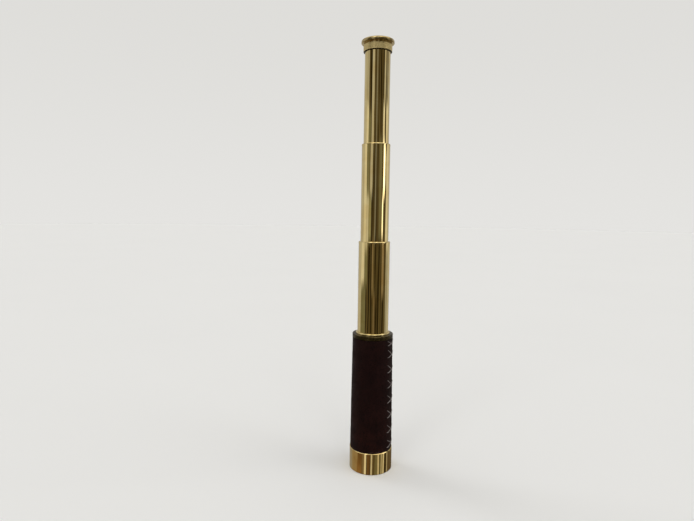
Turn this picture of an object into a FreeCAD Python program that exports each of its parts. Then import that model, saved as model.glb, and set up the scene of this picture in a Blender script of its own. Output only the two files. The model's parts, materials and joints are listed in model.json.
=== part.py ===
import FreeCAD, Part
import math
import os
import Sketcher

# A three-draw hand telescope, fully extended and standing on its objective end.
#
# Frame: millimetres, +Z up along the optical axis, from the objective towards the eye.
# Origin: centre of the objective ring's lower face, which is the face it stands on.
# Every turned piece is a PartDesign body revolved about the optical axis. Its outline's corners
# are pairs of (radius, height), each an expression over the cells of the sheet named sizes.

DRIVING_SIZES = {
    # Barrel, from the ground up.
    "ring_radius": 19.0,
    "ring_height": 19.1,
    "ring_flange": 5.0,
    "ring_mouth_radius": 16.2,
    "ring_mouth_bevel": 0.8,
    "edge_break": 0.4,
    "barrel_end_radius": 17.45,
    "barrel_top_radius": 16.55,
    "barrel_wall": 0.8,
    "barrel_top": 119.4,
    "leather_thickness": 1.2,
    "leather_seam_gap": 0.5,
    "end_ring_radius": 17.9,
    "end_ring_height": 3.2,
    "end_ring_spigot": 10.4,
    "barrel_lip_radius": 15.0,
    "barrel_lip_height": 1.7,
    "barrel_guide_wall": 0.85,
    "barrel_guide_length": 15.0,
    # Lacing over the leather seam.
    "stitch_pitch": 13.5,
    "stitch_first": 3.8,
    "stitch_last": 5.0,
    "stitch_margin": 1.8,
    "stitch_reach": 5.2,
    "stitch_width": 0.8,
    "stitch_rise": 2.5,
    "stitch_fall": 10.5,
    "thread_proud": 0.35,
    # Draws.
    "draw_3_radius": 13.7,
    "draw_2_radius": 12.2,
    "draw_1_radius": 10.85,
    "tube_wall": 0.6,
    "draw_3_top": 204.0,
    "draw_2_top": 287.4,
    "draw_lip_height": 1.8,
    "draw_lip_bead": 0.1,
    "draw_lip_round": 0.9,
    "draw_guide_length": 13.0,
    "slide_ring_length": 6.0,
    "slide_ring_lip": 1.0,
    "slide_ring_3_radius": 15.8,
    "running_gap": 0.05,
    "stop_gap": 0.3,
    # Eye end.
    "eye_ring_radius": 12.15,
    "eye_ring_base": 363.5,
    "eye_ring_top": 369.1,
    "eye_ring_seat": 3.0,
    "eye_spigot_radius": 9.6,
    "eye_spigot_length": 4.1,
    "cup_neck_radius": 11.6,
    "cup_neck_height": 1.2,
    "cup_radius": 14.0,
    "cup_thickness": 3.0,
    "cup_dish_radius": 11.2,
    "cup_dish_depth": 2.4,
    "eye_hole_radius": 5.0,
    "eye_hole_length": 1.1,
    # Objective.
    "cell_lip": 1.2,
    "cell_wall": 0.75,
    "cell_length": 14.0,
    "objective_aperture": 15.0,
    "objective_bulge": 1.1,
    "crown_rim": 1.8,
    "objective_gap": 0.3,
    "flint_rim": 3.0,
    "lens_play": 0.05,
    "seat_play": 0.02,
    "retaining_ring_height": 3.0,
    "retaining_ring_wall": 1.5,
    "spanner_slot_width": 1.2,
    "spanner_slot_depth": 0.8,
    "glare_stop_radius": 13.4,
    "glare_stop_base": 19.3,
    "glare_stop_height": 2.0,
    "stop_web": 0.6,
    # Erector, in the lower end of draw 1.
    "cartridge_wall": 0.7,
    "erector_inset": 1.0,
    "erector_length": 52.0,
    "erector_seat": 5.0,
    "cartridge_shoulder": 0.6,
    "small_ring_height": 1.6,
    "small_ring_wall": 0.9,
    "erector_lens_rim": 1.4,
    "erector_bulge": 1.3,
    "erector_stop_height": 20.0,
    "erector_stop_hole": 2.0,
    # Eyepiece, in the upper end of draw 1.
    "eyepiece_length": 27.0,
    "field_lens_rim": 1.6,
    "field_lens_bulge": 1.7,
    "field_stop_height": 12.0,
    "field_stop_hole": 5.5,
    "eye_lens_radius": 7.5,
    "eye_lens_rim": 1.3,
    "eye_lens_bulge": 1.5,
    "eye_ring_wall": 1.1,
}

SEAM_DIRECTION = -21.0  # degrees about +Z from +X to the leather's butt seam
FULL_TURN = 360.0
BEYOND_ANY_RING = 60.0  # longer than any radius of the telescope
SAME_PLACE = 1e-4  # millimetres within which an edge counts as found
AXIS_OF_X = FreeCAD.Vector(1, 0, 0)
AXIS_OF_Z = FreeCAD.Vector(0, 0, 1)

doc = FreeCAD.newDocument("draw_telescope")
sheet = doc.addObject("Spreadsheet::Sheet", "sizes")
for row, (alias, size) in enumerate(DRIVING_SIZES.items(), start=1):
    sheet.set(f"A{row}", alias)
    sheet.set(f"B{row}", str(size))
    sheet.setAlias(f"B{row}", alias)
doc.recompute()

pieces = {}


# ---------------------------------------------------------------- expressions

def cell(alias):
    """The expression for one cell of the sheet."""
    return f"sizes.{alias}"


def plus(*terms):
    """The expression for a sum."""
    return "(" + " + ".join(terms) + ")"


def minus(first, *rest):
    """The expression for a difference."""
    return "(" + " - ".join((first,) + rest) + ")"


def value_of(expression):
    """The number that an expression gives at the sheet's present sizes."""
    return float(sheet.evalExpression(expression))


# Heights and radii that several pieces share.
RING_TOP = cell("ring_height")
RING_SEAT = cell("ring_flange")
BARREL_TOP = cell("barrel_top")
RIM = plus(BARREL_TOP, cell("end_ring_height"))
BARREL_LIP_TOP = plus(RIM, cell("barrel_lip_height"))
BARREL_END_BORE = minus(cell("barrel_end_radius"), cell("barrel_wall"))
BARREL_TOP_BORE = minus(cell("barrel_top_radius"), cell("barrel_wall"))
LEATHER_BASE_RADIUS = plus(cell("barrel_end_radius"), cell("leather_thickness"))
LEATHER_TOP_RADIUS = plus(cell("barrel_top_radius"), cell("leather_thickness"))

DRAW_RADIUS = {n: cell(f"draw_{n}_radius") for n in (3, 2, 1)}
DRAW_BORE = {n: minus(DRAW_RADIUS[n], cell("tube_wall")) for n in (3, 2, 1)}
DRAW_TOP = {n: cell(f"draw_{n}_top") for n in (3, 2)}
TUBE_TOP = {n: minus(DRAW_TOP[n], cell("draw_lip_height")) for n in (3, 2)}
TUBE_TOP[1] = plus(cell("eye_ring_base"), cell("eye_ring_seat"))
# The lower end of the bush that each draw slides in.
GUIDE_BASE = {
    3: minus(RIM, cell("barrel_guide_length")),
    2: minus(TUBE_TOP[3], cell("draw_guide_length")),
    1: minus(TUBE_TOP[2], cell("draw_guide_length")),
}
SLIDE_RING_TOP = {n: minus(GUIDE_BASE[n], cell("stop_gap")) for n in (3, 2, 1)}
SLIDE_RING_BASE = {n: minus(SLIDE_RING_TOP[n], cell("slide_ring_length")) for n in (3, 2, 1)}
TUBE_BASE = {n: plus(SLIDE_RING_BASE[n], cell("slide_ring_lip")) for n in (3, 2, 1)}
SLIDE_RING_RADIUS = {
    3: cell("slide_ring_3_radius"),
    2: minus(DRAW_BORE[3], cell("running_gap")),
    1: minus(DRAW_BORE[2], cell("running_gap")),
}


# ---------------------------------------------------------------- body helpers

def new_body(label):
    body = doc.addObject("PartDesign::Body", label)
    body.Label = label
    pieces[label] = body
    return body


def sketch_on(body, role, name):
    """An empty sketch on one of the body's own origin planes."""
    sketch = body.newObject("Sketcher::SketchObject", name)
    plane = next(item for item in body.Origin.OriginFeatures if item.Role == role)
    sketch.AttachmentSupport = [(plane, "")]
    sketch.MapMode = "FlatFace"
    return sketch


def bind_point(sketch, geometry, end, across, up):
    """Hold one end of a sketch line at the distances that two expressions give from the origin."""
    horizontal_axis, vertical_axis, origin = -1, -2, (-1, 1)
    for kind, expression, zero_line in (
        ("DistanceX", across, vertical_axis),
        ("DistanceY", up, horizontal_axis),
    ):
        size = value_of(expression)
        if size == 0:
            sketch.addConstraint(Sketcher.Constraint("PointOnObject", geometry, end, zero_line))
            continue
        index = sketch.addConstraint(Sketcher.Constraint(kind, *origin, geometry, end, size))
        sketch.setExpression(f"Constraints[{index}]", expression)


def draw_outline(sketch, corners):
    """A closed outline of straight sides between corners given as pairs of expressions."""
    points = [FreeCAD.Vector(value_of(across), value_of(up), 0) for across, up in corners]
    count = len(points)
    for index, point in enumerate(points):
        sketch.addGeometry(Part.LineSegment(point, points[(index + 1) % count]), False)
    for index in range(count):
        sketch.addConstraint(Sketcher.Constraint("Coincident", index, 2, (index + 1) % count, 1))
    for index, (across, up) in enumerate(corners):
        bind_point(sketch, index, 1, across, up)


def revolve(body, sketch):
    """Turn the sketch about the optical axis."""
    feature = body.newObject("PartDesign::Revolution", body.Label + "_turned")
    feature.Profile = sketch
    feature.ReferenceAxis = (sketch, ["V_Axis"])
    feature.Angle = FULL_TURN
    sketch.Visibility = False
    doc.recompute()
    body.Tip = feature
    return feature


def rim_edges(feature, corners):
    """Names of the feature's circular edges that run through the given (radius, height) corners."""
    names = []
    for radius, height in corners:
        for index, edge in enumerate(feature.Shape.Edges, start=1):
            curve = edge.Curve
            if not isinstance(curve, Part.Circle):
                continue
            same_radius = abs(curve.Radius - value_of(radius)) < SAME_PLACE
            same_height = abs(curve.Center.z - value_of(height)) < SAME_PLACE
            if same_radius and same_height:
                names.append(f"Edge{index}")
    if len(names) < len(corners):
        raise RuntimeError(f"{feature.Name}: an edge to dress wasn't found")
    return names


def dress(body, kind, size, corners):
    """Chamfer or fillet the circular edges at the given corners of the body's tip."""
    base = body.Tip
    feature = body.newObject(f"PartDesign::{kind}", f"{body.Label}_{kind.lower()}")
    feature.Base = (base, rim_edges(base, corners))
    feature.setExpression("Radius" if kind == "Fillet" else "Size", size)
    doc.recompute()
    body.Tip = feature


def turned(label, corners, *dressings):
    """A turned piece; each dressing is a (kind, size, corners) triple for dress."""
    body = new_body(label)
    outline = sketch_on(body, "XZ_Plane", label + "_outline")
    draw_outline(outline, corners)
    revolve(body, outline)
    for kind, size, dressed_corners in dressings:
        dress(body, kind, size, dressed_corners)


def tube(label, radius, bore, base, top):
    """A plain turned tube or ring."""
    turned(label, [(bore, base), (radius, base), (radius, top), (bore, top)])


def spanner_slots(body, face_height, cut_up):
    """Two slots across a ring's end face, for the tool that screws it in."""
    sketch = sketch_on(body, "XY_Plane", body.Label + "_slot_outline")
    sketch.setExpression("AttachmentOffset.Base.z", face_height)
    half_width = f"{cell('spanner_slot_width')} / 2"
    draw_outline(sketch, [
        (f"-{BEYOND_ANY_RING}", f"-{half_width}"),
        (f"{BEYOND_ANY_RING}", f"-{half_width}"),
        (f"{BEYOND_ANY_RING}", half_width),
        (f"-{BEYOND_ANY_RING}", half_width),
    ])
    before = body.Tip.Shape.Volume
    pocket = body.newObject("PartDesign::Pocket", body.Label + "_slots")
    pocket.Profile = sketch
    pocket.Reversed = cut_up
    pocket.setExpression("Length", cell("spanner_slot_depth"))
    sketch.Visibility = False
    doc.recompute()
    body.Tip = pocket
    if not body.Tip.Shape.Volume < before:
        raise RuntimeError(f"{body.Label}: the spanner slots cut nothing")


def slotted_ring(label, radius, wall, base, height, slots_on_top):
    """A screwed ring that holds a lens, with spanner slots in its free face."""
    top = plus(base, height)
    tube(label, radius, minus(radius, wall), base, top)
    spanner_slots(pieces[label], top if slots_on_top else base, not slots_on_top)


# ---------------------------------------------------------------- lenses

def add_lens_face(sketch, rim_radius, rim_height, vertex_height):
    """One polished face: a line if flat, or an arc centred on the axis.

    Returns the sketch geometry's index, its end on the axis and its end at the rim.
    """
    rim = FreeCAD.Vector(value_of(rim_radius), value_of(rim_height), 0)
    vertex = FreeCAD.Vector(0, value_of(vertex_height), 0)
    rise = rim.y - vertex.y
    if rise == 0:
        return sketch.addGeometry(Part.LineSegment(vertex, rim), False), 1, 2
    curvature_radius = (rim.x**2 + rise**2) / (2 * abs(rise))
    centre_side = math.copysign(1, rise)
    centre = vertex + FreeCAD.Vector(0, centre_side * curvature_radius, 0)
    circle = Part.Circle(centre, AXIS_OF_Z, curvature_radius)
    rim_angle = math.atan2(rim.y - centre.y, rim.x)
    vertex_angle = -centre_side * math.pi / 2
    # A sketch's arc runs anticlockwise, so its start is the smaller angle.
    arc = Part.ArcOfCircle(circle, min(rim_angle, vertex_angle), max(rim_angle, vertex_angle))
    index = sketch.addGeometry(arc, False)
    sketch.addConstraint(Sketcher.Constraint("PointOnObject", index, 3, -2))
    return (index, 1, 2) if vertex_angle < rim_angle else (index, 2, 1)


def lens(label, radius, low_rim, high_rim, low_vertex, high_vertex):
    """A lens: its rim runs from low_rim to high_rim, its faces cross the axis at the two vertices."""
    body = new_body(label)
    sketch = sketch_on(body, "XZ_Plane", label + "_outline")
    low, low_axis_end, low_rim_end = add_lens_face(sketch, radius, low_rim, low_vertex)
    high, high_axis_end, high_rim_end = add_lens_face(sketch, radius, high_rim, high_vertex)
    ends = [FreeCAD.Vector(value_of(radius), value_of(height), 0) for height in (low_rim, high_rim)]
    rim = sketch.addGeometry(Part.LineSegment(*ends), False)
    axis_ends = [FreeCAD.Vector(0, value_of(height), 0) for height in (high_vertex, low_vertex)]
    axis = sketch.addGeometry(Part.LineSegment(*axis_ends), False)
    for first, first_end, second, second_end in (
        (low, low_rim_end, rim, 1),
        (rim, 2, high, high_rim_end),
        (high, high_axis_end, axis, 1),
        (axis, 2, low, low_axis_end),
    ):
        sketch.addConstraint(Sketcher.Constraint("Coincident", first, first_end, second, second_end))
    bind_point(sketch, rim, 1, radius, low_rim)
    bind_point(sketch, rim, 2, radius, high_rim)
    bind_point(sketch, axis, 1, "0", high_vertex)
    bind_point(sketch, axis, 2, "0", low_vertex)
    revolve(body, sketch)


def dome_gap(bulge, lens_radius, seat_radius):
    """How far a domed face stands off its rim where it meets a seat of smaller radius."""
    return f"({bulge} * (1 - ({seat_radius} / {lens_radius})^2) + {cell('seat_play')})"


# ---------------------------------------------------------------- barrel

def make_barrel():
    """Spun brass tube: straight where the objective ring screws on, then tapering to the top."""
    turned("main_barrel", [
        (BARREL_END_BORE, RING_SEAT),
        (cell("barrel_end_radius"), RING_SEAT),
        (cell("barrel_end_radius"), RING_TOP),
        (cell("barrel_top_radius"), BARREL_TOP),
        (BARREL_TOP_BORE, BARREL_TOP),
        (BARREL_END_BORE, RING_TOP),
    ])


def make_leather():
    """Leather wrapped once round the tapered tube, its two edges butted at the seam."""
    body = new_body("leather_sleeve")
    outline = sketch_on(body, "XZ_Plane", "leather_outline")
    draw_outline(outline, [
        (cell("barrel_end_radius"), RING_TOP),
        (LEATHER_BASE_RADIUS, RING_TOP),
        (LEATHER_TOP_RADIUS, BARREL_TOP),
        (cell("barrel_top_radius"), BARREL_TOP),
    ])
    wrap = revolve(body, outline)
    gap_degrees = f"{cell('leather_seam_gap')} / {LEATHER_BASE_RADIUS} * 180 / pi"
    wrap.setExpression("Angle", f"{FULL_TURN} - {gap_degrees}")
    doc.recompute()
    # The wrap starts at +X and ends just before it, so half the gap is turned back past the seam.
    to_seam = FreeCAD.Rotation(AXIS_OF_Z, SEAM_DIRECTION + value_of(gap_degrees) / 2)
    body.Placement = FreeCAD.Placement(FreeCAD.Vector(), to_seam)


def leather_cone(name, extra):
    """The leather's outer surface, grown by an expression, as a solid cone."""
    cone = doc.addObject("Part::Cone", name)
    cone.setExpression("Radius1", plus(LEATHER_BASE_RADIUS, extra))
    cone.setExpression("Radius2", plus(LEATHER_TOP_RADIUS, extra))
    cone.setExpression("Height", minus(BARREL_TOP, RING_TOP))
    cone.setExpression("Placement.Base.z", RING_TOP)
    return cone


def thread_slab(name, left_height, right_height):
    """A thin slab whose crossing with the leather's surface is one run of thread over the seam."""
    climb = right_height - left_height
    span = 2 * value_of(cell("stitch_reach"))
    run = math.hypot(climb, span)
    slab = doc.addObject("Part::Box", name)
    slab.setExpression("Length", LEATHER_BASE_RADIUS)
    slab.Width = run
    slab.setExpression("Height", cell("stitch_width"))
    tilt = FreeCAD.Rotation(AXIS_OF_X, math.degrees(math.atan2(climb, span)))
    turn = FreeCAD.Rotation(AXIS_OF_Z, SEAM_DIRECTION).multiply(tilt)
    half_width = value_of(cell("stitch_width")) / 2
    corner = FreeCAD.Vector(value_of(LEATHER_TOP_RADIUS) / 2, -run / 2, -half_width)
    middle = FreeCAD.Vector(0, 0, (left_height + right_height) / 2)
    slab.Placement = FreeCAD.Placement(middle + turn.multVec(corner), turn)
    return slab


def cross_heights():
    """Heights of the lacing's crosses: evenly spaced, with the last one closer, under the end ring."""
    first = value_of(plus(RING_TOP, cell("stitch_first")))
    last = value_of(minus(BARREL_TOP, cell("stitch_last")))
    pitch = value_of(cell("stitch_pitch"))
    whole_steps = math.floor((last - first) / pitch)
    return [first + pitch * step for step in range(whole_steps + 1)] + [last]


def make_seam_thread():
    """Waxed lacing: at each cross a nearly level run and a long slanting run pass over the seam."""
    low_limit = value_of(plus(RING_TOP, cell("stitch_margin")))
    high_limit = value_of(minus(BARREL_TOP, cell("stitch_margin")))
    half_rise = value_of(cell("stitch_rise")) / 2
    half_fall = value_of(cell("stitch_fall")) / 2
    slabs = []
    for number, height in enumerate(cross_heights(), start=1):
        slabs.append(thread_slab(f"level_run_{number}", height - half_rise, height + half_rise))
        slant_left = min(height + half_fall, high_limit)
        slant_right = max(height - half_fall, low_limit)
        slabs.append(thread_slab(f"slant_run_{number}", slant_left, slant_right))
    runs = doc.addObject("Part::MultiFuse", "thread_runs")
    runs.Shapes = slabs
    skin = doc.addObject("Part::Cut", "thread_layer")
    skin.Base = leather_cone("thread_outside", cell("thread_proud"))
    skin.Tool = leather_cone("thread_inside", "0")
    thread = doc.addObject("Part::Common", "seam_thread")
    thread.Label = "seam_thread"
    thread.Base = skin
    thread.Tool = runs
    pieces["seam_thread"] = thread


def make_barrel_top():
    """Dark end ring that closes the leather, and the bright bush that guides draw 3."""
    spigot_base = minus(BARREL_TOP, cell("end_ring_spigot"))
    shank_radius = plus(DRAW_RADIUS[3], cell("running_gap"), cell("barrel_guide_wall"))
    turned(
        "barrel_end_ring",
        [
            (shank_radius, spigot_base),
            (BARREL_TOP_BORE, spigot_base),
            (BARREL_TOP_BORE, BARREL_TOP),
            (cell("end_ring_radius"), BARREL_TOP),
            (cell("end_ring_radius"), RIM),
            (shank_radius, RIM),
        ],
        ("Fillet", cell("edge_break"), [(cell("end_ring_radius"), RIM)]),
    )
    bore = plus(DRAW_RADIUS[3], cell("running_gap"))
    turned(
        "barrel_guide_bush",
        [
            (bore, GUIDE_BASE[3]),
            (shank_radius, GUIDE_BASE[3]),
            (shank_radius, RIM),
            (cell("barrel_lip_radius"), RIM),
            (cell("barrel_lip_radius"), BARREL_LIP_TOP),
            (bore, BARREL_LIP_TOP),
        ],
        ("Fillet", f"{cell('barrel_lip_height')} / 2", [(cell("barrel_lip_radius"), BARREL_LIP_TOP)]),
    )


def make_objective_ring():
    """Polished ring screwed over the barrel's lower end; the telescope stands on its face."""
    outer_corners = [(cell("ring_radius"), "0"), (cell("ring_radius"), RING_TOP)]
    turned(
        "objective_ring",
        [
            (cell("ring_mouth_radius"), "0"),
            (cell("ring_radius"), "0"),
            (cell("ring_radius"), RING_TOP),
            (cell("barrel_end_radius"), RING_TOP),
            (cell("barrel_end_radius"), RING_SEAT),
            (cell("ring_mouth_radius"), RING_SEAT),
        ],
        ("Chamfer", cell("edge_break"), outer_corners),
        ("Chamfer", cell("ring_mouth_bevel"), [(cell("ring_mouth_radius"), "0")]),
    )


def make_objective():
    """Cell, crown and flint elements with a thin ring between them, and the screwed ring behind."""
    cell_bore = minus(BARREL_END_BORE, cell("cell_wall"))
    lens_radius = minus(cell_bore, cell("lens_play"))
    aperture = cell("objective_aperture")
    seat = plus(RING_SEAT, cell("cell_lip"))
    cell_top = plus(RING_SEAT, cell("cell_length"))
    turned("objective_cell", [
        (aperture, RING_SEAT),
        (BARREL_END_BORE, RING_SEAT),
        (BARREL_END_BORE, cell_top),
        (cell_bore, cell_top),
        (cell_bore, seat),
        (aperture, seat),
    ])
    bulge = cell("objective_bulge")
    gap = dome_gap(bulge, lens_radius, aperture)
    crown_base = plus(seat, gap)
    crown_top = plus(crown_base, cell("crown_rim"))
    lens(
        "objective_crown_lens",
        lens_radius,
        crown_base,
        crown_top,
        minus(crown_base, bulge),
        plus(crown_top, bulge),
    )
    spacer_base = plus(crown_top, gap)
    flint_base = plus(spacer_base, cell("objective_gap"))
    tube("objective_spacer", lens_radius, aperture, spacer_base, flint_base)
    flint_top = plus(flint_base, cell("flint_rim"))
    lens("objective_flint_lens", lens_radius, flint_base, flint_top, plus(flint_base, bulge), flint_top)
    slotted_ring(
        "objective_retaining_ring",
        cell_bore,
        cell("retaining_ring_wall"),
        flint_top,
        cell("retaining_ring_height"),
        True,
    )


def make_glare_stop():
    """Blackened diaphragm that keeps light off the barrel's wall."""
    base = cell("glare_stop_base")
    top = plus(base, cell("glare_stop_height"))
    web_top = plus(base, cell("stop_web"))
    radius = minus(BARREL_END_BORE, cell("running_gap"))
    rim_bore = minus(radius, cell("stop_web"))
    turned("barrel_glare_stop", [
        (cell("glare_stop_radius"), base),
        (radius, base),
        (radius, top),
        (rim_bore, top),
        (rim_bore, web_top),
        (cell("glare_stop_radius"), web_top),
    ])


# ---------------------------------------------------------------- draws

def make_draw_tube(number):
    tube(
        f"draw_{number}_tube",
        DRAW_RADIUS[number],
        DRAW_BORE[number],
        TUBE_BASE[number],
        TUBE_TOP[number],
    )


def make_slide_ring(number):
    """Ring on the lower end of a draw: it guides the draw and stops it against the bush."""
    turned(f"draw_{number}_slide_ring", [
        (DRAW_BORE[number], SLIDE_RING_BASE[number]),
        (SLIDE_RING_RADIUS[number], SLIDE_RING_BASE[number]),
        (SLIDE_RING_RADIUS[number], SLIDE_RING_TOP[number]),
        (DRAW_RADIUS[number], SLIDE_RING_TOP[number]),
        (DRAW_RADIUS[number], TUBE_BASE[number]),
        (DRAW_BORE[number], TUBE_BASE[number]),
    ])


def make_eye_bush(number):
    """Bush in the upper end of a draw, with a rounded lip; its bore guides the next draw."""
    bore = plus(DRAW_RADIUS[number - 1], cell("running_gap"))
    lip_radius = plus(DRAW_RADIUS[number], cell("draw_lip_bead"))
    turned(
        f"draw_{number}_eye_bush",
        [
            (bore, GUIDE_BASE[number - 1]),
            (DRAW_BORE[number], GUIDE_BASE[number - 1]),
            (DRAW_BORE[number], TUBE_TOP[number]),
            (lip_radius, TUBE_TOP[number]),
            (lip_radius, DRAW_TOP[number]),
            (bore, DRAW_TOP[number]),
        ],
        ("Fillet", cell("draw_lip_round"), [(lip_radius, DRAW_TOP[number])]),
    )


# ---------------------------------------------------------------- optics in draw 1

CARTRIDGE_RADIUS = minus(DRAW_BORE[1], cell("running_gap"))
CARTRIDGE_BORE = minus(CARTRIDGE_RADIUS, cell("cartridge_wall"))
SHOULDER_BORE = minus(CARTRIDGE_BORE, cell("cartridge_shoulder"))
CARTRIDGE_LENS = minus(CARTRIDGE_BORE, cell("lens_play"))


def make_erector():
    """Cartridge with two lenses that turn the image upright, and a small stop between them."""
    base = plus(TUBE_BASE[1], cell("erector_inset"))
    top = plus(base, cell("erector_length"))
    front_seat = plus(base, cell("erector_seat"))
    rear_seat = minus(top, cell("erector_seat"))
    turned("erector_tube", [
        (CARTRIDGE_BORE, base),
        (CARTRIDGE_RADIUS, base),
        (CARTRIDGE_RADIUS, top),
        (CARTRIDGE_BORE, top),
        (CARTRIDGE_BORE, rear_seat),
        (SHOULDER_BORE, rear_seat),
        (SHOULDER_BORE, front_seat),
        (CARTRIDGE_BORE, front_seat),
    ])
    rim, bulge = cell("erector_lens_rim"), cell("erector_bulge")
    gap = dome_gap(bulge, CARTRIDGE_LENS, SHOULDER_BORE)
    ring_height, ring_wall = cell("small_ring_height"), cell("small_ring_wall")
    # The domed faces look at each other, and each rests on its shoulder's inner edge.
    front_rim = minus(front_seat, gap)
    front_base = minus(front_rim, rim)
    front_vertex = plus(front_rim, bulge)
    lens("erector_front_lens", CARTRIDGE_LENS, front_base, front_rim, front_base, front_vertex)
    slotted_ring(
        "erector_front_ring",
        CARTRIDGE_BORE,
        ring_wall,
        minus(front_base, ring_height),
        ring_height,
        False,
    )
    rear_rim = plus(rear_seat, gap)
    rear_top = plus(rear_rim, rim)
    rear_vertex = minus(rear_rim, bulge)
    lens("erector_rear_lens", CARTRIDGE_LENS, rear_rim, rear_top, rear_vertex, rear_top)
    slotted_ring("erector_rear_ring", CARTRIDGE_BORE, ring_wall, rear_top, ring_height, True)
    stop_base = plus(base, cell("erector_stop_height"))
    stop_top = plus(stop_base, cell("stop_web"))
    tube("erector_stop", SHOULDER_BORE, cell("erector_stop_hole"), stop_base, stop_top)


def make_eyepiece():
    """Field lens and field stop in a tube at the top of draw 1."""
    top = minus(cell("eye_ring_top"), cell("eye_spigot_length"))
    base = minus(top, cell("eyepiece_length"))
    seat = plus(base, cell("erector_seat"))
    turned("eyepiece_tube", [
        (CARTRIDGE_BORE, base),
        (CARTRIDGE_RADIUS, base),
        (CARTRIDGE_RADIUS, top),
        (SHOULDER_BORE, top),
        (SHOULDER_BORE, seat),
        (CARTRIDGE_BORE, seat),
    ])
    # The domed face looks down at the objective, inside the ring that holds the lens.
    rim_base = minus(seat, cell("field_lens_rim"))
    bulge = cell("field_lens_bulge")
    lens("field_lens", CARTRIDGE_LENS, rim_base, seat, minus(rim_base, bulge), seat)
    ring_height, ring_wall = cell("small_ring_height"), cell("small_ring_wall")
    ring_top = minus(rim_base, dome_gap(bulge, CARTRIDGE_LENS, minus(CARTRIDGE_BORE, ring_wall)))
    ring_base = minus(ring_top, ring_height)
    slotted_ring("field_lens_ring", CARTRIDGE_BORE, ring_wall, ring_base, ring_height, False)
    stop_base = plus(base, cell("field_stop_height"))
    stop_top = plus(stop_base, cell("stop_web"))
    tube("field_stop", SHOULDER_BORE, cell("field_stop_hole"), stop_base, stop_top)


def make_eye_ring():
    """Satin ring screwed on the top of draw 1; it stops the draw and carries the eye cup."""
    base, top = cell("eye_ring_base"), cell("eye_ring_top")
    outer_corners = [(cell("eye_ring_radius"), base), (cell("eye_ring_radius"), top)]
    turned(
        "eyepiece_ring",
        [
            (DRAW_RADIUS[1], base),
            (cell("eye_ring_radius"), base),
            (cell("eye_ring_radius"), top),
            (cell("eye_spigot_radius"), top),
            (cell("eye_spigot_radius"), TUBE_TOP[1]),
            (DRAW_RADIUS[1], TUBE_TOP[1]),
        ],
        ("Chamfer", f"{cell('edge_break')} / 2", outer_corners),
    )


def make_eye_cup():
    """Eye cup: a spigot in the satin ring, a neck, a flange with a round edge and a shallow dish."""
    ring_top = cell("eye_ring_top")
    spigot_base = minus(ring_top, cell("eye_spigot_length"))
    flange_base = plus(ring_top, cell("cup_neck_height"))
    flange_top = plus(flange_base, cell("cup_thickness"))
    hole_top = minus(flange_top, cell("cup_dish_depth"))
    lens_seat = minus(hole_top, cell("eye_hole_length"))
    lens_bore = plus(cell("eye_lens_radius"), cell("lens_play"))
    turned(
        "eye_cup",
        [
            (lens_bore, spigot_base),
            (cell("eye_spigot_radius"), spigot_base),
            (cell("eye_spigot_radius"), ring_top),
            (cell("cup_neck_radius"), ring_top),
            (cell("cup_neck_radius"), flange_base),
            (cell("cup_radius"), flange_base),
            (cell("cup_radius"), flange_top),
            (cell("cup_dish_radius"), flange_top),
            (cell("eye_hole_radius"), hole_top),
            (cell("eye_hole_radius"), lens_seat),
            (lens_bore, lens_seat),
        ],
        ("Fillet", f"{cell('cup_thickness')} / 2", [(cell("cup_radius"), flange_top)]),
        ("Chamfer", cell("edge_break"), [(cell("cup_radius"), flange_base)]),
    )
    lens_radius, bulge = cell("eye_lens_radius"), cell("eye_lens_bulge")
    rim_base = minus(lens_seat, cell("eye_lens_rim"))
    lens("eye_lens", lens_radius, rim_base, lens_seat, minus(rim_base, bulge), lens_seat)
    ring_wall = cell("eye_ring_wall")
    retainer_top = minus(rim_base, dome_gap(bulge, lens_radius, minus(lens_bore, ring_wall)))
    retainer_base = minus(retainer_top, cell("small_ring_height"))
    slotted_ring("eye_lens_ring", lens_bore, ring_wall, retainer_base, cell("small_ring_height"), False)


# ---------------------------------------------------------------- build, check and write

make_barrel()
make_leather()
make_seam_thread()
make_barrel_top()
make_objective_ring()
make_objective()
make_glare_stop()
for draw_number in (3, 2, 1):
    make_draw_tube(draw_number)
    make_slide_ring(draw_number)
for draw_number in (3, 2):
    make_eye_bush(draw_number)
make_erector()
make_eyepiece()
make_eye_ring()
make_eye_cup()
doc.recompute()

for item in doc.Objects:
    if "Invalid" in item.State or "Error" in item.State:
        raise RuntimeError(f"{item.Label} failed: {item.State}")

os.makedirs("parts", exist_ok=True)
for label, piece in pieces.items():
    shape = piece.Shape
    if shape.isNull() or not shape.isValid():
        raise RuntimeError(f"{label} has no valid shape")
    shape.exportStep(os.path.join("parts", label + ".step"))

travels = {
    "draw_3": minus(TUBE_TOP[3], BARREL_LIP_TOP, cell("stop_gap")),
    "draw_2": minus(TUBE_TOP[2], DRAW_TOP[3], cell("stop_gap")),
    "draw_1": minus(cell("eye_ring_base"), DRAW_TOP[2], cell("stop_gap")),
}
print("pieces:", len(pieces))
for name, travel in travels.items():
    print(name, "slides", round(value_of(travel), 3), "mm")
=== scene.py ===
import json
import math

import bpy
import numpy as np
from mathutils import Matrix, Vector, noise


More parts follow.
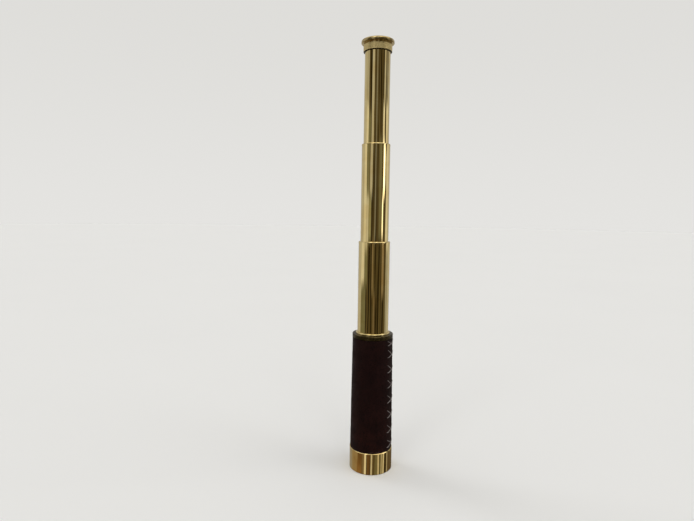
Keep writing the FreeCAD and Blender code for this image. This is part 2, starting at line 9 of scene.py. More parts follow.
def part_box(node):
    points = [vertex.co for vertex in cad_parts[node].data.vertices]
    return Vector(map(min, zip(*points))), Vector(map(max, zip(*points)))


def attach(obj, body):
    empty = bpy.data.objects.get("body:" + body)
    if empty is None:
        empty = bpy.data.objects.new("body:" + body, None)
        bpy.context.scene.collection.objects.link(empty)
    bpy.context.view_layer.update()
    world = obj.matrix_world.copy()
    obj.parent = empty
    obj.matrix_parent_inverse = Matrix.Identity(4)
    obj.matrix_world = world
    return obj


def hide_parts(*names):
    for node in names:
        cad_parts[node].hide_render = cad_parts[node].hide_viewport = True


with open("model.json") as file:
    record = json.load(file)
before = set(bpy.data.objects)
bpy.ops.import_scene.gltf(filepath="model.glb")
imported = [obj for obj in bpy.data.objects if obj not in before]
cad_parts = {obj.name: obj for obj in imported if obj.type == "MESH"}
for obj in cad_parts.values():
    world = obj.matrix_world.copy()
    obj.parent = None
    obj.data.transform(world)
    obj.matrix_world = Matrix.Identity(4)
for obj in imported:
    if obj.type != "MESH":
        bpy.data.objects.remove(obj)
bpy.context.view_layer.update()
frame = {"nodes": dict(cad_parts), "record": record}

# A three-draw hand telescope, fully extended and standing on its objective ring.
#
# Metres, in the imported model's frame: +Z up along the optical axis, and the ring stands on z = 0.
# The turned brass and the glass are the CAD nodes with their own materials. The leather wrap, its
# lacing and the satin ring are new pieces, made here around the CAD nodes that they replace.

MM = 0.001
NODES = frame["nodes"]

SEAM = math.radians(-21.0)  # direction of the leather's butt seam, about +Z from +X


# ---------------------------------------------------------------- reading the frame

def heights(node):
    """The lowest and highest z of a CAD node."""
    low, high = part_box(node)
    return low[2], high[2]


def radii(node, height):
    """The inner and outer radius of a turned CAD node where it passes the given height."""
    mesh = NODES[node].data
    points = np.empty(len(mesh.vertices) * 3)
    mesh.vertices.foreach_get("co", points)
    points = points.reshape(-1, 3)
    near = points[np.abs(points[:, 2] - height) < 0.01 * MM]
    distance = np.hypot(near[:, 0], near[:, 1])
    return float(distance.min()), float(distance.max())


# ---------------------------------------------------------------- shader helpers

def add(tree, kind, inputs=None, **settings):
    """A new node. Each input is a plain value or another node's output socket."""
    node = tree.nodes.new(kind)
    for name, value in settings.items():
        setattr(node, name, value)
    for name, value in (inputs or {}).items():
        if isinstance(value, bpy.types.NodeSocket):
            tree.links.new(value, node.inputs[name])
        else:
            node.inputs[name].default_value = value
    return node


def maths(tree, operation, *values):
    return add(tree, "ShaderNodeMath", dict(enumerate(values)), operation=operation).outputs[0]


def rescale(tree, value, low, high, to_low, to_high):
    """The value mapped from one range to another, and held inside it."""
    inputs = {"Value": value, "From Min": low, "From Max": high, "To Min": to_low, "To Max": to_high}
    return add(tree, "ShaderNodeMapRange", inputs, interpolation_type="SMOOTHSTEP").outputs["Result"]


def blend_colours(tree, factor, first, second, mode="MIX"):
    node = add(tree, "ShaderNodeMix", {0: factor}, data_type="RGBA", blend_type=mode)
    for index, value in ((6, first), (7, second)):
        if isinstance(value, bpy.types.NodeSocket):
            tree.links.new(value, node.inputs[index])
        else:
            node.inputs[index].default_value = (*value, 1.0)
    return node.outputs[2]


def stretched(tree, place, across, along):
    """Coordinates scaled by one number across the optical axis and another along it."""
    inputs = {"Vector": place, "Scale": (across, across, along)}
    return add(tree, "ShaderNodeMapping", inputs).outputs["Vector"]


def clouds(tree, place, scale, detail=2.0, roughness=0.5, distortion=0.0):
    inputs = {
        "Vector": place,
        "Scale": scale,
        "Detail": detail,
        "Roughness": roughness,
        "Distortion": distortion,
    }
    return add(tree, "ShaderNodeTexNoise", inputs).outputs[0]


def raised(tree, height, distance, below=None):
    """A bump of the given real height in metres, on top of another bump."""
    inputs = {"Height": height, "Distance": distance, "Strength": 1.0}
    if below is not None:
        inputs["Normal"] = below
    return add(tree, "ShaderNodeBump", inputs).outputs["Normal"]


def new_material(name, **sockets):
    """A material with its Principled shader, and the coordinates of the piece it is on."""
    material = bpy.data.materials.new(name)
    material.use_nodes = True
    tree = material.node_tree
    surface = tree.nodes["Principled BSDF"]
    for socket, value in sockets.items():
        surface.inputs[socket.replace("_", " ")].default_value = value
    place = add(tree, "ShaderNodeTexCoord").outputs["Object"]
    return material, tree, surface, place


def connect(tree, surface, **sockets):
    for socket, value in sockets.items():
        tree.links.new(value, surface.inputs[socket.replace("_", " ")])


# ---------------------------------------------------------------- materials

# Painted shade: the dark colour of the bands at joints, where shade falls under a ring or a flange.
JOINT_SHADE_COLOUR = (0.030, 0.020, 0.008)


def brass(name, bright, dull, gloss, smudged, wave=0.2 * MM, lines=0.0, painted_shade_at=()):
    """Brass with a cloudy tone, smudges in its gloss, a slight waviness and fine lines from turning.

    gloss and smudged are the roughness of clean and of handled metal. The last argument lists the
    heights of joints where shade is painted on the metal as a dark band, each with its reach.
    """
    material, tree, surface, place = new_material(name, Metallic=1.0)
    cloudy = clouds(tree, place, 70, detail=3, roughness=0.6)
    tone = rescale(tree, cloudy, 0.35, 0.7, 0.0, 1.0)
    colour = blend_colours(tree, tone, bright, dull)
    height = add(tree, "ShaderNodeSeparateXYZ", {"Vector": place}).outputs["Z"]
    # Painted shade: a dark band around each listed joint, standing in for the shade under the part
    # above it.
    for joint, reach in painted_shade_at:
        away = maths(tree, "ABSOLUTE", maths(tree, "SUBTRACT", height, joint))
        shaded = rescale(tree, away, 0.4 * reach, reach, 0.92, 0.0)
        colour = blend_colours(tree, shaded, colour, JOINT_SHADE_COLOUR)
    wiped = clouds(tree, stretched(tree, place, 120, 40), 1, detail=4, roughness=0.65, distortion=1.5)
    roughness = rescale(tree, wiped, 0.45, 0.75, gloss, smudged)
    turned_lines = clouds(tree, stretched(tree, place, 20, 9000), 1, detail=2, roughness=0.7)
    rough_lines = maths(tree, "MULTIPLY_ADD", turned_lines, lines, roughness)
    waviness = clouds(tree, stretched(tree, place, 75, 22), 1, detail=1.5, roughness=0.4)
    normal = raised(tree, waviness, wave)
    normal = raised(tree, turned_lines, lines * 0.02 * MM, normal)
    connect(tree, surface, Base_Color=colour, Roughness=rough_lines, Normal=normal)
    return material


def aged_brass():
    """The dark end ring: brown-black antique finish, rubbed to brass in places."""
    material, tree, surface, place = new_material("aged_brass", Metallic=1.0)
    mottle = clouds(tree, place, 260, detail=4, roughness=0.65, distortion=0.4)
    patches = rescale(tree, mottle, 0.42, 0.66, 0.0, 1.0)
    brown_black = (0.040, 0.031, 0.014)
    rubbed_brass = (0.13, 0.10, 0.045)
    colour = blend_colours(tree, patches, brown_black, rubbed_brass)
    pits = clouds(tree, place, 1500, detail=3, roughness=0.6)
    roughness = rescale(tree, patches, 0.0, 1.0, 0.42, 0.27)
    normal = raised(tree, pits, 0.03 * MM)
    connect(tree, surface, Base_Color=colour, Roughness=roughness, Normal=normal)
    return material


def blackened_brass():
    """Matt black inside finish, with faint turning lines."""
    material, tree, surface, place = new_material("blackened_brass", Metallic=0.0)
    tone = clouds(tree, place, 400, detail=3, roughness=0.6)
    black = (0.010, 0.010, 0.011)
    worn_black = (0.035, 0.033, 0.030)
    colour = blend_colours(tree, tone, black, worn_black)
    roughness = rescale(tree, tone, 0.3, 0.7, 0.45, 0.65)
    lines = clouds(tree, stretched(tree, place, 20, 4000), 1, detail=2, roughness=0.6)
    normal = raised(tree, lines, 0.02 * MM)
    connect(tree, surface, Base_Color=colour, Roughness=roughness, Normal=normal)
    return material


def glass():
    """Polished lens glass with faint wiping marks."""
    material, tree, surface, place = new_material("glass", Transmission_Weight=1.0, IOR=1.52)
    marks = clouds(tree, place, 500, detail=4, roughness=0.7, distortion=1.0)
    roughness = rescale(tree, marks, 0.55, 0.8, 0.0, 0.04)
    clear = (0.90, 0.97, 0.95)
    wiped = (0.93, 0.98, 0.97)
    tint = blend_colours(tree, marks, clear, wiped)
    connect(tree, surface, Base_Color=tint, Roughness=roughness)
    return material


OXBLOOD_DARK = (0.0135, 0.0028, 0.0027)
OXBLOOD = (0.0205, 0.0046, 0.0038)
OXBLOOD_WARM = (0.028, 0.0060, 0.0038)
CREASE = (0.0040, 0.0014, 0.0014)
SCUFFED_HIDE = (0.14, 0.10, 0.095)


def leather():
    """Dark oxblood leather: grained, uneven in tone, warmer and scuffed towards its lower end."""
    low, high = heights("leather_sleeve")
    material, tree, surface, place = new_material("leather", Specular_IOR_Level=0.10)
    height = add(tree, "ShaderNodeSeparateXYZ", {"Vector": place}).outputs["Z"]
    cloudy = clouds(tree, place, 60, detail=4, roughness=0.6)
    tone = rescale(tree, cloudy, 0.35, 0.68, 0.0, 1.0)
    lower = rescale(tree, height, low, (low + high) / 2, 1.0, 0.0)
    colour = blend_colours(tree, tone, OXBLOOD_DARK, OXBLOOD)
    warm = maths(tree, "MULTIPLY", tone, lower)
    colour = blend_colours(tree, warm, colour, OXBLOOD_WARM)

    cells = add(
        tree,
        "ShaderNodeTexVoronoi",
        {"Vector": place, "Scale": 950, "Randomness": 0.9},
        feature="DISTANCE_TO_EDGE",
    ).outputs["Distance"]
    creases = rescale(tree, cells, 0.0, 0.16, 0.0, 1.0)
    colour = blend_colours(tree, creases, CREASE, colour)

    rubbed = clouds(tree, stretched(tree, place, 420, 900), 1, detail=4, roughness=0.7)
    edge = rescale(tree, height, low + 0.3 * MM, low + 2.6 * MM, 1.0, 0.0)
    scuffs = maths(tree, "MULTIPLY", edge, rescale(tree, rubbed, 0.5, 0.66, 0.0, 0.55))
    colour = blend_colours(tree, scuffs, colour, SCUFFED_HIDE)

    handled = clouds(tree, place, 110, detail=3, roughness=0.5)
    polished = rescale(tree, handled, 0.35, 0.7, 0.50, 0.66)
    grain = raised(tree, creases, 0.07 * MM)
    pores = raised(tree, clouds(tree, place, 3200, detail=2, roughness=0.6), 0.02 * MM, grain)
    connect(tree, surface, Base_Color=colour, Roughness=polished, Normal=pores)
    return material


def thread():
    """Waxed grey thread, a little grubby."""
    material, tree, surface, place = new_material("thread", Sheen_Weight=0.15, Specular_IOR_Level=0.35)
    tone = clouds(tree, place, 700, detail=3, roughness=0.6)
    grubby = (0.15, 0.128, 0.122)
    waxed_grey = (0.34, 0.305, 0.295)
    colour = blend_colours(tree, tone, grubby, waxed_grey)
    roughness = rescale(tree, tone, 0.3, 0.7, 0.5, 0.7)
    fibres = raised(tree, clouds(tree, place, 6000, detail=2, roughness=0.6), 0.02 * MM)
    connect(tree, surface, Base_Color=colour, Roughness=roughness, Normal=fibres)
    return material


RING_FOOT = heights("eyepiece_ring")[0]
NECK = heights("eye_cup")[0]
MATERIALS = {
    "polished_brass": brass(
        "polished_brass",
        bright=(0.86, 0.71, 0.36),
        dull=(0.80, 0.62, 0.28),
        gloss=0.03,
        smudged=0.07,
        # Painted shade on the draw tube, just under the satin ring.
        painted_shade_at=[(RING_FOOT, 0.55 * MM)],
    ),
    "ring_brass": brass(
        "ring_brass",
        bright=(0.82, 0.63, 0.29),
        dull=(0.72, 0.52, 0.21),
        gloss=0.03,
        smudged=0.07,
    ),
    "eye_cup_brass": brass(
        "eye_cup_brass",
        bright=(0.60, 0.47, 0.23),
        dull=(0.50, 0.38, 0.16),
        gloss=0.22,
        smudged=0.25,
        wave=0.03 * MM,
        # Painted shade at the neck and on the flange's underside.
        painted_shade_at=[(NECK + 0.6 * MM, 1.5 * MM)],
    ),
    "satin_brass": brass(
        "satin_brass",
        bright=(0.78, 0.64, 0.32),
        dull=(0.74, 0.59, 0.28),
        gloss=0.44,
        smudged=0.46,
        wave=0.02 * MM,
        # Painted shade along the satin ring's lower edge.
        painted_shade_at=[(RING_FOOT, 0.25 * MM)],
    ),
    "inner_brass": brass(
        "inner_brass",
        bright=(0.45, 0.36, 0.18),
        dull=(0.36, 0.27, 0.12),
        gloss=0.3,
        smudged=0.4,
        lines=0.1,
    ),
    "aged_brass": aged_brass(),
    "blackened_brass": blackened_brass(),
    "glass": glass(),
    "leather": leather(),
    "thread": thread(),
}


def paint_cad_nodes():
    """Give each CAD node the material of its slot in the record."""
    for part in frame["record"]["subparts"]:
        mesh = NODES[part["node"]].data
        mesh.materials.clear()
        mesh.materials.append(MATERIALS[part["material_slot"]])


# ---------------------------------------------------------------- mesh helpers

SHARP_EDGE = math.radians(40)


def new_piece(name, points, faces, slot, body="barrel"):
    """A smooth-shaded piece with the slot's material, riding on a body."""
    mesh = bpy.data.meshes.new(name)
    mesh.from_pydata([tuple(point) for point in points], [], faces)
    mesh.polygons.foreach_set("use_smooth", [True] * len(mesh.polygons))
    mesh.set_sharp_from_angle(angle=SHARP_EDGE)
    mesh.materials.append(MATERIALS[slot])
    piece = bpy.data.objects.new(name, mesh)
    bpy.context.scene.collection.objects.link(piece)
    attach(piece, body)
    return piece


def on_circle(radius, angle, height):
    return np.stack([radius * np.cos(angle), radius * np.sin(angle), height], axis=-1)


def closed_strip_faces(rows, columns, first=0, wrap_rows=False):
    """Quads between rows of points, where each row closes on itself."""
    faces = []
    for row in range(rows if wrap_rows else rows - 1):
        here, there = first + row * columns, first + (row + 1) % rows * columns
        for column in range(columns):
            after = (column + 1) % columns
            faces.append((here + column, here + after, there + after, there + column))
    return faces


# ---------------------------------------------------------------- leather wrap and lacing

LEATHER_LOW, LEATHER_HIGH = heights("leather_sleeve")
LEATHER_LOW_RADIUS = radii("leather_sleeve", LEATHER_LOW)[1]
LEATHER_HIGH_RADIUS = radii("leather_sleeve", LEATHER_HIGH)[1]
LEATHER_THICKNESS = LEATHER_LOW_RADIUS - radii("leather_sleeve", LEATHER_LOW)[0]
SEAM_GAP = 0.3 * MM
ROLL = 0.8 * MM  # how far in from a cut edge the leather starts to round over

# The hide's unevenness: slow lumps where it is glued over the tube, and shallow wrinkles.
LUMP_SPACING = 26 * MM
LUMP_HEIGHT = 0.16 * MM
WRINKLE_SPACING = 5 * MM
WRINKLE_HEIGHT = 0.05 * MM

STITCH_REACH = 6.6 * MM  # from the seam to a needle hole, round the surface
STITCH_PITCH = 13.5 * MM  # from one cross to the next
STITCH_RISE = 4.0 * MM  # of the run laid on top, from its left hole to its right
STITCH_FALL = 9.5 * MM  # of the run laid first
STITCH_MARGIN = 1.8 * MM  # between a hole and the leather's cut edge
FIRST_CROSS = LEATHER_LOW + 5.1 * MM
LAST_CROSS = LEATHER_HIGH - 3.6 * MM

# The dents that the lacing pulls in the leather, under a run and at a needle hole.
RUN_DENT = 0.16 * MM
RUN_DENT_WIDTH = 0.6 * MM
HOLE_DENT = 0.55 * MM
HOLE_DENT_WIDTH = 0.5 * MM


def cone_radius(height):
    """The leather's outside radius before its unevenness."""
    share = (height - LEATHER_LOW) / (LEATHER_HIGH - LEATHER_LOW)
    return LEATHER_LOW_RADIUS + share * (LEATHER_HIGH_RADIUS - LEATHER_LOW_RADIUS)


def lacing_runs():
    """Each run of thread over the seam as (left height, right height, passes on top)."""
    steps = math.floor((LAST_CROSS - FIRST_CROSS) / STITCH_PITCH)
    crosses = [FIRST_CROSS + STITCH_PITCH * step for step in range(steps + 1)] + [LAST_CROSS]
    runs = []
    for cross in crosses:
        top = min(cross + STITCH_FALL / 2, LEATHER_HIGH - STITCH_MARGIN)
        bottom = max(cross - STITCH_FALL / 2, LEATHER_LOW + STITCH_MARGIN)
        runs.append((top, bottom, False))
        runs.append((cross - STITCH_RISE / 2, cross + STITCH_RISE / 2, True))
    return runs


def round_over(distance):
    """How far the surface drops at a distance in from a cut edge."""
    inside = np.clip(1 - distance / ROLL, 0, 1)
    return ROLL * (1 - np.sqrt(np.clip(1 - inside**2, 0, 1)))


def unevenness(points):
    """How far each point of the surface stands out, in metres."""
    lumps = np.array([noise.noise(Vector(point) / LUMP_SPACING) for point in points])
    wrinkles = np.array([noise.noise(Vector(point) / WRINKLE_SPACING) for point in points])
    return LUMP_HEIGHT * lumps + WRINKLE_HEIGHT * wrinkles


def hump(distance, width):
    """A smooth hump, 1 in its middle and close to 0 beyond two widths."""
    return np.exp(-((distance / width) ** 2))


def stitch_marks(across, height):
    """How far the lacing pulls the leather in, at places round from the seam and up the wrap."""
    pulled = np.zeros_like(across)
    for left, right, _ in lacing_runs():
        start, end = np.array([-STITCH_REACH, left]), np.array([STITCH_REACH, right])
        along = end - start
        share = ((across - start[0]) * along[0] + (height - start[1]) * along[1]) / (along @ along)
        share = np.clip(share, 0, 1)
        away = np.hypot(across - start[0] - share * along[0], height - start[1] - share * along[1])
        pulled = np.maximum(pulled, RUN_DENT * hump(away, RUN_DENT_WIDTH))
        for hole in (start, end):
            away = np.hypot(across - hole[0], height - hole[1])
            pulled = np.maximum(pulled, HOLE_DENT * hump(away, HOLE_DENT_WIDTH))
    return pulled


def steps_with_fine_ends(length, fine, coarse, fine_zone):
    """Positions from 0 to length, closely spaced near both ends."""
    ends = np.arange(0, fine_zone, fine)
    middle_count = max(2, round((length - 2 * fine_zone) / coarse))
    middle = np.linspace(fine_zone, length - fine_zone, middle_count)
    return np.concatenate([ends, middle, length - ends[::-1]])


def leather_wrap():
    """Leather laid once round the tube, as a closed skin, and its girth.

    It has rolled edges, a butt seam and the marks of its lacing.
    """
    mean_radius = (LEATHER_LOW_RADIUS + LEATHER_HIGH_RADIUS) / 2
    girth = 2 * math.pi * mean_radius - SEAM_GAP
    stitched_zone = STITCH_REACH + 1.5 * MM
    edge_zone = 1.2 * MM
    length = LEATHER_HIGH - LEATHER_LOW
    around = steps_with_fine_ends(girth, 0.22 * MM, 0.55 * MM, stitched_zone)
    up = LEATHER_LOW + steps_with_fine_ends(length, 0.2 * MM, 0.42 * MM, edge_zone)
    across_grid, height_grid = np.meshgrid(around + SEAM_GAP / 2, up)
    angle = SEAM + across_grid / mean_radius
    from_seam = np.where(across_grid > girth / 2, across_grid - girth - SEAM_GAP, across_grid)
    outside = cone_radius(height_grid)
    surface_points = on_circle(outside, angle, height_grid).reshape(-1, 3)
    outside = outside + unevenness(surface_points).reshape(outside.shape)
    outside -= stitch_marks(from_seam, height_grid)
    outside -= round_over(np.abs(from_seam) - SEAM_GAP / 2)
    outside -= round_over(np.minimum(height_grid - LEATHER_LOW, LEATHER_HIGH - height_grid))
    inside = cone_radius(height_grid) - LEATHER_THICKNESS
    # Each row of the skin runs out along the outside and back along the inside.
    rows = np.concatenate([
        on_circle(outside, angle, height_grid),
        on_circle(inside, angle, height_grid)[:, ::-1],
    ], axis=1)
    row_count, columns = rows.shape[:2]
    faces = closed_strip_faces(row_count, columns)
    half = columns // 2
    for row, flip in ((0, True), (row_count - 1, False)):
        first = row * columns
        for column in range(half - 1):
            face = (
                first + column,
                first + column + 1,
                first + columns - 2 - column,
                first + columns - 1 - column,
            )
            faces.append(face[::-1] if flip else face)
    piece = new_piece("leather_wrap", rows.reshape(-1, 3), faces, "leather")
    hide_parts("leather_sleeve")
    return piece, girth


PLY_RADIUS = 0.20 * MM
PLY_OFFSET = 0.17 * MM  # from the thread's centre to a ply's
TWIST_PITCH = 1.5 * MM
PLIES = 2
PLY_SIDES = 7
RUN_STEPS = 90
HOLE_DEPTH = 1.1 * MM  # that a run dives at its end
HOLE_WIDTH = 0.3 * MM
TOP_HOP = 0.40 * MM  # of a top run over the one it crosses
UNDER_HOP = 0.10 * MM  # of the other one over the seam
HOP_WIDTH = 1.1 * MM
TOP_LIFT = 0.08 * MM  # of the thread's centre over the leather, where it was laid last
UNDER_LIFT = -0.31 * MM  # where it was laid first and pulled tight into the leather


def run_path(left, right, on_top):
    """The centre of one run of thread, from a needle hole over the seam to the other hole."""
    share = np.linspace(0, 1, RUN_STEPS)
    across = STITCH_REACH * (2 * share - 1)
    height = left + share * (right - left)
    length = math.hypot(2 * STITCH_REACH, right - left)
    from_end = np.minimum(share, 1 - share) * length
    sink = HOLE_DEPTH * hump(from_end, HOLE_WIDTH)
    hop = (TOP_HOP if on_top else UNDER_HOP) * hump(across, HOP_WIDTH)
    lift = TOP_LIFT if on_top else UNDER_LIFT
    radius = cone_radius(height) + lift - sink + hop
    angle = SEAM + across / radius
    return on_circle(radius, angle, height)


def twisted(path):
    """Rings of points round each ply of a thread that twists about the path."""
    step = np.linalg.norm(np.diff(path, axis=0), axis=1)
    travelled = np.concatenate([[0], np.cumsum(step)])
    tangent = np.gradient(path, axis=0)
    tangent /= np.linalg.norm(tangent, axis=1, keepdims=True)
    outward = path * (1, 1, 0)
    outward /= np.linalg.norm(outward, axis=1, keepdims=True)
    sideways = np.cross(tangent, outward)
    sideways /= np.linalg.norm(sideways, axis=1, keepdims=True)
    outward = np.cross(sideways, tangent)
    turn = np.linspace(0, 2 * math.pi, PLY_SIDES, endpoint=False)
    rings = []
    for ply in range(PLIES):
        phase = 2 * math.pi * (travelled / TWIST_PITCH + ply / PLIES)
        spin = phase[:, None]
        centre = path + PLY_OFFSET * (np.cos(spin) * outward + np.sin(spin) * sideways)
        ring = [
            centre + PLY_RADIUS * (math.cos(angle) * outward + math.sin(angle) * sideways)
            for angle in turn
        ]
        rings.append(np.stack(ring, axis=1))
    return rings


def seam_lacing():
    """All the runs of waxed thread over the seam, as one piece."""
    points, faces = [], []
    for left, right, on_top in lacing_runs():
        for rings in twisted(run_path(left, right, on_top)):
            first = len(points)
            rows, columns = rings.shape[:2]
            points.extend(rings.reshape(-1, 3))
            faces.extend(closed_strip_faces(rows, columns, first))
            faces.append(tuple(first + column for column in range(columns))[::-1])
            faces.append(tuple(first + (rows - 1) * columns + column for column in range(columns)))
    piece = new_piece("seam_lacing", points, faces, "thread")
    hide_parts("seam_thread")
    return piece


# ---------------------------------------------------------------- satin ring

LATHE_SEGMENTS = 256
RING_EDGE = 0.2 * MM  # its broken edges
RING_PLAIN_BAND = 0.5 * MM  # between an edge and the grooves
GROOVE_DEPTH = 0.010 * MM
GROOVE_COUNT = 3
STEPS_PER_GROOVE = 12


def lathe(name, outline, slot, body):
    """A piece turned about the optical axis from a closed outline of (radius, height) points."""
    turn = np.linspace(0, 2 * math.pi, LATHE_SEGMENTS, endpoint=False)
    rows = [on_circle(radius, turn, np.full(LATHE_SEGMENTS, height)) for radius, height in outline]
    points = np.concatenate(rows)
    faces = closed_strip_faces(len(outline), LATHE_SEGMENTS, wrap_rows=True)
    return new_piece(name, points, faces, slot, body)


def satin_ring():
    """The ring under the eye cup, with very shallow turned grooves between two plain bands."""
    low, high = heights("eyepiece_ring")
    bore = radii("eyepiece_ring", low)[0]
    spigot_bore = radii("eyepiece_ring", high)[0]
    outer = float(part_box("eyepiece_ring")[1][0])
    tube_top = heights("draw_1_tube")[1]
    outline = [(bore, low), (outer - RING_EDGE, low), (outer, low + RING_EDGE)]
    grooved_low = low + RING_EDGE + RING_PLAIN_BAND
    grooved_high = high - RING_EDGE - RING_PLAIN_BAND
    for height in np.linspace(grooved_low, grooved_high, STEPS_PER_GROOVE * GROOVE_COUNT + 1):
        share = (height - grooved_low) / (grooved_high - grooved_low)
        cut = GROOVE_DEPTH * (0.5 - 0.5 * math.cos(2 * math.pi * GROOVE_COUNT * share))
        outline.append((outer - cut, height))
    outline += [
        (outer, high - RING_EDGE),
        (outer - RING_EDGE, high),
        (spigot_bore, high),
        (spigot_bore, tube_top),
        (bore, tube_top),
    ]
    piece = lathe("satin_ring", outline, "satin_brass", "draw_1")
    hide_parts("eyepiece_ring")


# ---------------------------------------------------------------- studio

FLOOR_RADIUS = 9.0
FLOOR_SEGMENTS = 96
BACKDROP_LOW = (0.783, 0.775, 0.753)
BACKDROP_HIGH = (0.735, 0.727, 0.702)
BACKDROP_RISE = (math.radians(-4), math.radians(22))  # the tilts that it changes between


def studio_floor():
    """A pale matt sheet that reaches far behind the object, as bright as the backdrop at its end."""
    rings = np.concatenate([[0.05, 0.1, 0.2, 0.4], np.linspace(1.0, FLOOR_RADIUS, 9)])
    turn = np.linspace(0, 2 * math.pi, FLOOR_SEGMENTS, endpoint=False)
    level = np.zeros(FLOOR_SEGMENTS)
    points = np.concatenate([on_circle(radius, turn, level) for radius in rings])
    faces = closed_strip_faces(len(rings), FLOOR_SEGMENTS)
    faces.append(tuple(range(FLOOR_SEGMENTS)))
    mesh = bpy.data.meshes.new("floor")
    mesh.from_pydata([tuple(point) for point in points], [], faces)
    floor = bpy.data.objects.new("floor", mesh)
    bpy.context.scene.collection.objects.link(floor)
    material, tree, surface, place = new_material("floor", Roughness=0.6, Specular_IOR_Level=0.0)
    tone = clouds(tree, place, 3, detail=2)
    colour = blend_colours(tree, tone, (0.838, 0.846, 0.851), (0.856, 0.864, 0.869))
    connect(tree, surface, Base_Color=colour)
    mesh.materials.append(material)
    floor.visible_glossy = False


# The room that the brass mirrors: soft-edged panels of light in a dark brown studio. Each has the
# direction of its middle, in degrees round from the camera's side and positive to the right, half
# its width, its lowest and highest tilt over the horizon, its brightness and its tint. Later
# panels stand in front of earlier ones.
WHITE = (1.0, 0.98, 0.94)
OLIVE = (1.0, 0.97, 0.66)
AMBER = (1.0, 0.78, 0.52)
BROWN = (1.0, 0.60, 0.27)
DARK_ROOM = ((0.020, 0.014, 0.004), (0.125, 0.100, 0.055))
PANELS = (
    ("backdrop", 180, 86, -40, 30, 0.50, WHITE),
    ("backdrop foot, right", 133, 32, -40, -17, 0.13, AMBER),
    ("backdrop foot, left", -140, 16, -40, -17, 0.30, WHITE),
    ("left wall, upper half", -91, 13, 12, 34, 0.42, WHITE),
    ("left wall", -92, 14, -8, 12, 0.72, WHITE),
    ("left wall foot", -86, 22, -18, -8, 0.19, OLIVE),
    ("doorway at the left", -65, 12, -8, 11, 0.20, OLIVE),
    ("lamp in the doorway", -67, 11, -4, 2, 0.58, WHITE),
    ("screen in front, left", -37, 10, 2, 34, 0.54, WHITE),
    ("screen foot", -43, 9, -3, 2, 0.34, OLIVE),
    ("camera lamp", -2, 4, -3, 34, 0.24, WHITE),
    ("lamp stand", -14, 4, -9, -3, 0.24, AMBER),
    ("lamp foot", 1, 5, -20, -9, 0.20, AMBER),
    ("shelf in front, right", 39, 9, -3, 8, 0.20, OLIVE),
    ("window", 71, 7.5, 2, 8, 2.8, WHITE),
    ("window, lower pane", 62, 5, -3, 2, 1.9, WHITE),
    ("window, upper pane", 69, 8, 8, 12, 0.85, WHITE),
    ("window blind", 74, 8, 12, 34, 0.50, WHITE),
    ("window seat", 65, 8, -9, -3, 0.30, AMBER),
    ("wall beside the window", 90, 6, 3, 7, 0.45, WHITE),
    ("right wall", 107, 11, -4, 12, 0.74, WHITE),
    ("right wall, upper half", 106, 9, 12, 34, 0.22, WHITE),
    ("right wall foot", 106, 8, -17, -4, 0.36, WHITE),
    ("ceiling light over the front", 28, 74, 34, 62, 1.25, WHITE),
    ("left lamp on the ceiling", -33, 9, 32, 62, 2.4, WHITE),
    ("middle lamp", 18, 9, 32, 62, 2.4, WHITE),
    ("right lamp", 90, 9, 32, 62, 2.1, WHITE),
    ("table, left end", -100, 22, -38, -18, 0.31, AMBER),
    ("table, front left", -62, 15, -38, -18, 0.15, BROWN),
    ("tray on the table", -68, 15, -38, -27, 0.27, BROWN),
    ("table by the first strip", -43, 6, -38, -18, 0.22, AMBER),
    ("first strip on the table", -31, 4.5, -38, -18, 0.80, WHITE),
    ("table, front", -15, 8, -38, -18, 0.15, BROWN),
    ("second strip", 2, 3.5, -38, -18, 0.64, WHITE),
    ("cloth on the table", 28, 8, -38, -18, 0.20, OLIVE),
    ("third strip", 41, 3.5, -38, -18, 0.76, WHITE),
    ("cloth between strips", 50, 5, -38, -18, 0.17, OLIVE),
    ("fourth strip", 59, 3, -38, -18, 0.60, WHITE),
    ("cloth end", 65, 3, -38, -18, 0.20, OLIVE),
    ("fifth strip", 72, 3.5, -38, -18, 0.80, WHITE),
)
PANEL_EDGE = math.radians(2.0)
CEILING = 0.80  # brightness overhead
CEILING_EDGE = (math.radians(24), math.radians(46))


def panel(tree, light, heading, tilt, middle, half_width, lowest, highest, colour):
    """One soft-edged panel in front of the light so far."""
    middle, half_width = math.radians(middle), math.radians(half_width)
    lowest, highest = math.radians(lowest), math.radians(highest)
    facing = (math.sin(middle), -math.cos(middle), 0.0)
    near = add(tree, "ShaderNodeVectorMath", {0: heading, 1: facing}, operation="DOT_PRODUCT")
    outer, inner = math.cos(half_width + PANEL_EDGE), math.cos(half_width - PANEL_EDGE)
    shape = rescale(tree, near.outputs["Value"], outer, inner, 0.0, 1.0)
    above = rescale(tree, tilt, lowest - PANEL_EDGE / 2, lowest + PANEL_EDGE / 2, 0.0, 1.0)
    below = rescale(tree, tilt, highest - PANEL_EDGE / 2, highest + PANEL_EDGE / 2, 1.0, 0.0)
    shape = maths(tree, "MULTIPLY", maths(tree, "MULTIPLY", shape, above), below)
    return blend_colours(tree, shape, light, colour)


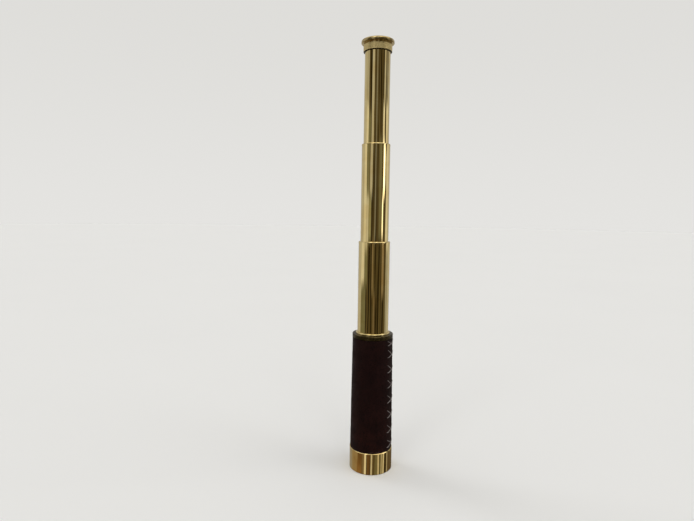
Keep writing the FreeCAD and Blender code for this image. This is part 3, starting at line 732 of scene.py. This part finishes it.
def studio_world():
    """A pale backdrop for the camera, and the room of panels for everything else."""
    world = bpy.data.worlds.new("studio")
    world.use_nodes = True
    bpy.context.scene.world = world
    tree = world.node_tree
    direction = add(tree, "ShaderNodeTexCoord").outputs["Generated"]
    parts = add(tree, "ShaderNodeSeparateXYZ", {"Vector": direction}).outputs
    tilt = maths(tree, "ARCSINE", parts["Z"])
    level = add(tree, "ShaderNodeCombineXYZ", {"X": parts["X"], "Y": parts["Y"]}).outputs["Vector"]
    heading = add(tree, "ShaderNodeVectorMath", {0: level}, operation="NORMALIZE").outputs["Vector"]

    murk = clouds(tree, stretched(tree, direction, 7, 3), 1, detail=3, roughness=0.6)
    light = blend_colours(tree, rescale(tree, murk, 0.38, 0.64, 0.0, 1.0), *DARK_ROOM)
    overhead = rescale(tree, tilt, *CEILING_EDGE, 0.0, 1.0)
    light = blend_colours(tree, overhead, light, [CEILING * part for part in WHITE])
    for _, middle, half_width, lowest, highest, brightness, tint in PANELS:
        colour = [brightness * part for part in tint]
        light = panel(tree, light, heading, tilt, middle, half_width, lowest, highest, colour)
    dapples = clouds(tree, stretched(tree, direction, 12, 5), 1, detail=3, roughness=0.6)
    dappled = rescale(tree, dapples, 0.3, 0.7, 0.82, 1.15)
    light = blend_colours(tree, 1.0, light, dappled, "MULTIPLY")

    rising = rescale(tree, tilt, *BACKDROP_RISE, 0.0, 1.0)
    backdrop = blend_colours(tree, rising, BACKDROP_LOW, BACKDROP_HIGH)
    seen = add(tree, "ShaderNodeLightPath").outputs["Is Camera Ray"]
    shown = blend_colours(tree, seen, light, backdrop)
    tree.links.new(shown, tree.nodes["Background"].inputs["Color"])


def soft_sun(name, toward, strength):
    """Even light over the whole floor, from a large soft source. Not mirrored in the brass."""
    light = bpy.data.lights.new(name, "SUN")
    light.energy = strength
    light.angle = SUN_SPREAD
    lamp = bpy.data.objects.new(name, light)
    lamp.rotation_mode = "QUATERNION"
    lamp.rotation_quaternion = Vector(toward).to_track_quat("-Z", "Y")
    lamp.visible_glossy = False
    bpy.context.scene.collection.objects.link(lamp)


SUN_SPREAD = math.radians(24)


def lights():
    """Two soft suns, whose faint shadows lie to the right of the telescope and to its left."""
    soft_sun("light_from_left_back", (0.86, -0.51, -0.84), 0.42)
    soft_sun("light_from_right", (-0.93, 0.37, -0.84), 0.21)


CAMERA_PLACE = Vector((-0.0237, -0.4456, 0.2280))
CAMERA_LENS = 26.455  # millimetres, like the sensor's width
SENSOR_WIDTH = 36.0
CAMERA_PITCH = math.radians(-5.30)
CAMERA_ROLL = math.radians(0.776)


def camera():
    """A camera close in front of the telescope, a little above its middle, tipped slightly down."""
    lens = bpy.data.cameras.new("camera")
    lens.lens = CAMERA_LENS
    lens.sensor_width = SENSOR_WIDTH
    lens.clip_start = 10 * MM
    eye = bpy.data.objects.new("camera", lens)
    level = Matrix.Rotation(math.pi / 2 + CAMERA_PITCH, 4, "X")
    eye.matrix_world = Matrix.Translation(CAMERA_PLACE) @ level @ Matrix.Rotation(CAMERA_ROLL, 4, "Z")
    bpy.context.scene.collection.objects.link(eye)
    bpy.context.scene.camera = eye
    bpy.context.scene.view_settings.view_transform = "Standard"


# ---------------------------------------------------------------- the scene

paint_cad_nodes()
wrap, wrap_girth = leather_wrap()
lacing = seam_lacing()
satin_ring()
studio_floor()
studio_world()
lights()
camera()
